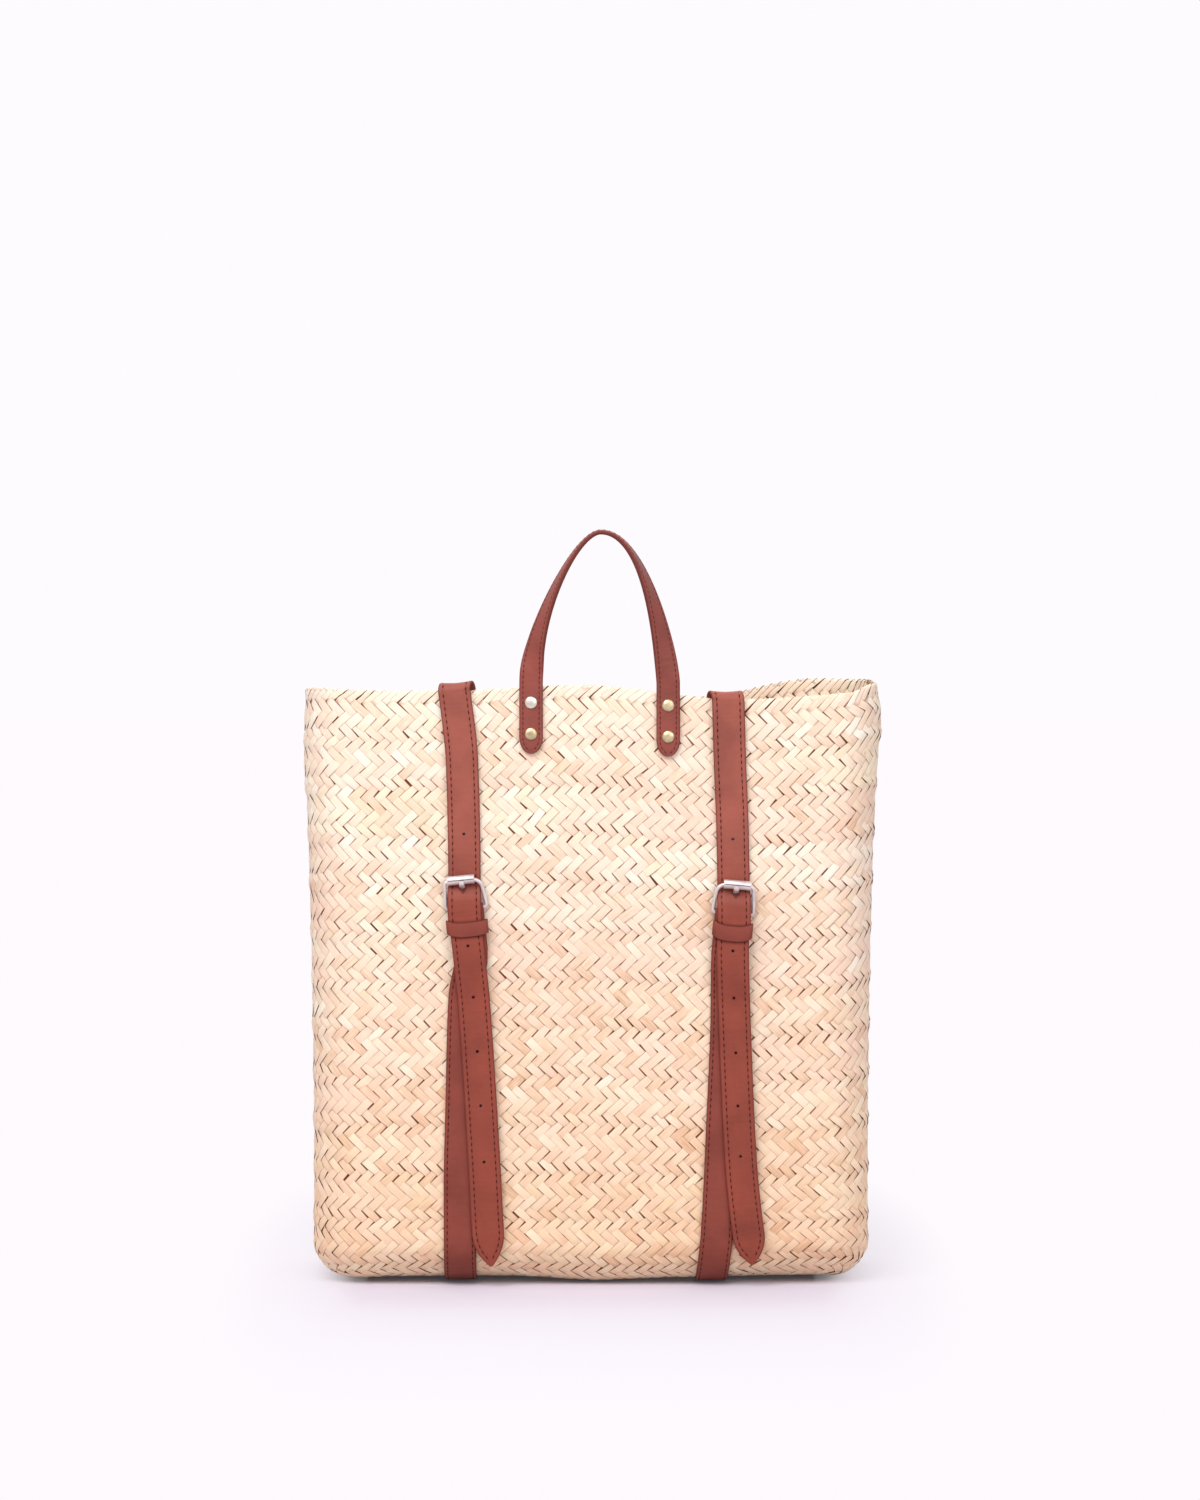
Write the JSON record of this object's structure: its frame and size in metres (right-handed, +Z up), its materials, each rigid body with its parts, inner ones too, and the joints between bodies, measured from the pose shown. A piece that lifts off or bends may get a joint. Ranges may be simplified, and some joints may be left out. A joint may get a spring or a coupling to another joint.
{
  "type": "straw backpack",
  "caption": "Plaited palm-leaf basket backpack with an arched leather carry handle riveted at the rim and buckled leather shoulder straps down its front.",
  "frame": {"origin": "on the floor under the middle of the bag's bounding box", "axes": "+Z up, +X to the right seen from the front, and the strapped front faces -Y"},
  "size_m": [0.395, 0.167, 0.5165],
  "materials": {
    "palm_leaf": "flat plaited palm leaf, pale straw colour, low sheen",
    "tan_leather": "smooth reddish tan leather with dark brown edge stitching",
    "nickel": "bright nickel plate",
    "antique_brass": "pale antique brass plate"
  },
  "bodies": {
    "bag": {"basket": "palm_leaf", "handle_left_lower_rivet_cap": "antique_brass", "handle_left_lower_rivet_stud": "antique_brass", "handle_left_tab": "tan_leather", "handle_left_upper_rivet_cap": "antique_brass", "handle_left_upper_rivet_stud": "antique_brass", "handle_right_lower_rivet_cap": "antique_brass", "handle_right_lower_rivet_stud": "antique_brass", "handle_right_tab": "tan_leather", "handle_right_upper_rivet_cap": "antique_brass", "handle_right_upper_rivet_stud": "antique_brass", "left_base_back_rivet_cap": "antique_brass", "left_base_back_rivet_stud": "antique_brass", "left_base_front_rivet_cap": "antique_brass", "left_base_front_rivet_stud": "antique_brass", "left_keeper": "tan_leather", "left_lower_strap": "tan_leather", "left_rim_lower_rivet_cap": "antique_brass", "left_rim_lower_rivet_stud": "antique_brass", "left_rim_upper_rivet_cap": "antique_brass", "left_rim_upper_rivet_stud": "antique_brass", "left_upper_strap": "tan_leather", "right_base_back_rivet_cap": "antique_brass", "right_base_back_rivet_stud": "antique_brass", "right_base_front_rivet_cap": "antique_brass", "right_base_front_rivet_stud": "antique_brass", "right_keeper": "tan_leather", "right_lower_strap": "tan_leather", "right_rim_lower_rivet_cap": "antique_brass", "right_rim_lower_rivet_stud": "antique_brass", "right_rim_upper_rivet_cap": "antique_brass", "right_rim_upper_rivet_stud": "antique_brass", "right_upper_strap": "tan_leather"},
    "handle": {"handle_arch": "tan_leather"},
    "left_buckle_frame": {"left_buckle_frame": "nickel"},
    "left_buckle_prong": {"left_buckle_prong": "nickel"},
    "left_buckle_roller": {"left_buckle_roller": "nickel"},
    "left_tail": {"left_strap_tail": "tan_leather"},
    "right_buckle_frame": {"right_buckle_frame": "nickel"},
    "right_buckle_prong": {"right_buckle_prong": "nickel"},
    "right_buckle_roller": {"right_buckle_roller": "nickel"},
    "right_tail": {"right_strap_tail": "tan_leather"}
  },
  "joints": [
    {"name": "handle_fold", "type": "hinge", "parent": "bag", "child": "handle", "pos_m": [0, -0.07105, 0.41257], "axis": [1, 0, 0], "range_deg": [-90, 95], "stiffness_Nm_per_rad": 0.05},
    {"name": "left_tail_swing", "type": "hinge", "parent": "bag", "child": "left_tail", "pos_m": [-0.08385, -0.08048, 0.2396], "axis": [-0.9917, 0.0258, -0.1261], "range_deg": [0, 95]},
    {"name": "left_buckle_tilt", "type": "hinge", "parent": "bag", "child": "left_buckle_frame", "pos_m": [-0.0857, -0.07628, 0.25986], "axis": [0.995, -0.0265, 0.0958], "range_deg": [0, 6]},
    {"name": "left_prong_lift", "type": "hinge", "parent": "left_buckle_frame", "child": "left_buckle_prong", "pos_m": [-0.0857, -0.07628, 0.25986], "axis": [0.995, -0.0265, 0.0958], "range_deg": [0, 6]},
    {"name": "left_roller_spin", "type": "hinge", "parent": "left_buckle_frame", "child": "left_buckle_roller", "pos_m": [-0.08766, -0.07871, 0.27951], "axis": [0.995, -0.0265, 0.0958], "continuous": true},
    {"name": "right_tail_swing", "type": "hinge", "parent": "bag", "child": "right_tail", "pos_m": [0.09635, -0.08011, 0.2361], "axis": [-0.9983, -0.0311, 0.0489], "range_deg": [0, 95]},
    {"name": "right_buckle_tilt", "type": "hinge", "parent": "bag", "child": "right_buckle_frame", "pos_m": [0.09701, -0.07594, 0.25636], "axis": [0.9957, 0.0304, -0.0871], "range_deg": [0, 6]},
    {"name": "right_prong_lift", "type": "hinge", "parent": "right_buckle_frame", "child": "right_buckle_prong", "pos_m": [0.09701, -0.07594, 0.25636], "axis": [0.9957, 0.0304, -0.0871], "range_deg": [0, 6]},
    {"name": "right_roller_spin", "type": "hinge", "parent": "right_buckle_frame", "child": "right_buckle_roller", "pos_m": [0.09881, -0.07836, 0.27602], "axis": [0.9957, 0.0304, -0.0871], "continuous": true}
  ]
}
